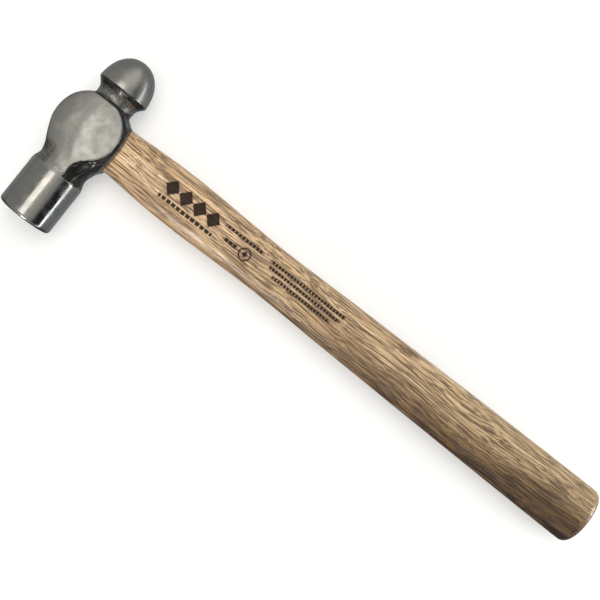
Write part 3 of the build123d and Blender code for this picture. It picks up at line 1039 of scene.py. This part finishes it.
def surroundings(g):
    """What the hammer reflects: soft grey, dark low on the handle's side with a bright strip under it."""
    direction = g.node("ShaderNodeTexCoord").outputs["Generated"]
    dx, dy, dz = g.node("ShaderNodeSeparateXYZ", {0: direction}).outputs
    # the angles from straight up, leaning towards the handle and leaning towards the face, in degrees
    lean = g.math("MULTIPLY", g.math("ARCTAN2", dx, dz), 180 / math.pi)
    away = g.math("MULTIPLY", g.math("ARCTAN2", g.math("MULTIPLY", dy, -1.0), dz), 180 / math.pi)
    sideways = g.step(0.92, 0.60, g.math("ABSOLUTE", dy))
    narrow = g.step(0.75, 0.35, g.math("ABSOLUTE", dx))
    dark = g.math("MULTIPLY", g.between(DARK_RISE, DARK_FALL, lean), sideways)
    strip = g.math("MULTIPLY", g.between(HORIZON_RISE, HORIZON_FALL, lean), sideways)
    front = g.math("MULTIPLY", g.between(FRONT_RISE, FRONT_FALL, away), narrow)
    near_top = g.between(TOP_RISE, TOP_FALL, lean)
    ground = g.step(0.02, -0.05, dz)
    low_front = g.math("MULTIPLY", ground, g.step(0.0, -0.5, dy))
    glow = g.math("MULTIPLY", g.step(0.25, 0.55, dy), g.step(*GLOW_RISE, lean))
    glow = g.math("MULTIPLY", glow, g.step(*GLOW_FALL, lean))

    colour = g.mix(ground, WALL_COLOUR, GROUND_COLOUR)
    colour = g.mix(low_front, colour, LOW_FRONT_COLOUR)
    colour = g.mix(near_top, colour, TOP_COLOUR)
    colour = g.mix(glow, colour, GLOW_COLOUR)
    colour = g.mix(g.math("MULTIPLY", dark, 0.97), colour, DARK_COLOUR)
    return g.mix(g.math("MAXIMUM", strip, g.math("MULTIPLY", front, 0.25)), colour, STRIP_COLOUR)


def make_world():
    """The surroundings for reflections and light, and a plain pale backdrop for the camera."""
    world = bpy.data.worlds.new("studio")
    bpy.context.scene.world = world
    world.use_nodes = True
    g = Graph(world.node_tree)
    seen = g.node("ShaderNodeLightPath").outputs["Is Camera Ray"]
    light = g.mix(seen, surroundings(g), BACKDROP_COLOUR)
    background = g.node("ShaderNodeBackground", {"Color": light, "Strength": 1.0})
    output = g.node("ShaderNodeOutputWorld")
    g.tree.links.new(background.outputs[0], output.inputs[0])


def make_light(name, place, target, size, power, colour=(1, 1, 1), glossy=True):
    data = bpy.data.lights.new(name, "AREA")
    data.shape = "RECTANGLE"
    data.size, data.size_y = size
    data.energy = power
    data.color = colour
    light = bpy.data.objects.new(name, data)
    light.location = place
    light.rotation_euler = (Vector(target) - Vector(place)).to_track_quat("-Z", "Y").to_euler()
    light.visible_glossy = glossy
    bpy.context.collection.objects.link(light)


def make_lights():
    """A warm softbox overhead, a fill that isn't reflected, and small lights low in front and at the butt."""
    overhead = CROSSING + Vector((-0.165, 0.0, 0.90))
    below = overhead - Vector((0, 0, 1))
    make_light("overhead_softbox", overhead, below, size=(0.54, 0.62), power=2.4, colour=WARM_WHITE)
    make_light("fill", (0.05, 0.55, 1.3), (0, 0, 0), size=(1.2, 0.8), power=7.6, glossy=False)
    window = CROSSING + Vector((0.03, -0.60, 0.17))
    near_head = CROSSING + Vector((0.08, 0, 0))
    make_light("low_window", window, near_head, size=(0.12, 0.08), power=0.95)
    beyond = CROSSING + Vector((0.42, 0.05, 0.035))
    butt = CROSSING + Vector((0.32, 0, 0))
    make_light("beyond_the_butt", beyond, butt, size=(0.08, 0.05), power=0.12)


def make_camera():
    """Straight above, with the handle running down to the right."""
    data = bpy.data.cameras.new("camera")
    data.lens = 72.0
    data.sensor_width = 36.0
    data.clip_start = 0.01
    camera = bpy.data.objects.new("camera", data)
    camera.location = CROSSING + Vector(CAMERA_PLACE) * MM
    camera.rotation_euler = (0, 0, math.radians(CAMERA_TURN))
    bpy.context.collection.objects.link(camera)
    bpy.context.scene.camera = camera


# ---- the scene ----

head = make_head()
handle = make_handle()
paint(head, steel_material())
paint(handle, oak_material())
for piece in (head, handle):
    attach(piece, "root")

wedge_steel = wedge_steel_material()
for node in ("steel_wedge_peen_side", "steel_wedge_face_side"):
    paint(bpy.data.objects[node], wedge_steel)
paint(bpy.data.objects["wooden_wedge"], wedge_wood_material())

make_floor()
make_world()
make_lights()
make_camera()
bpy.context.scene.view_settings.view_transform = "Standard"
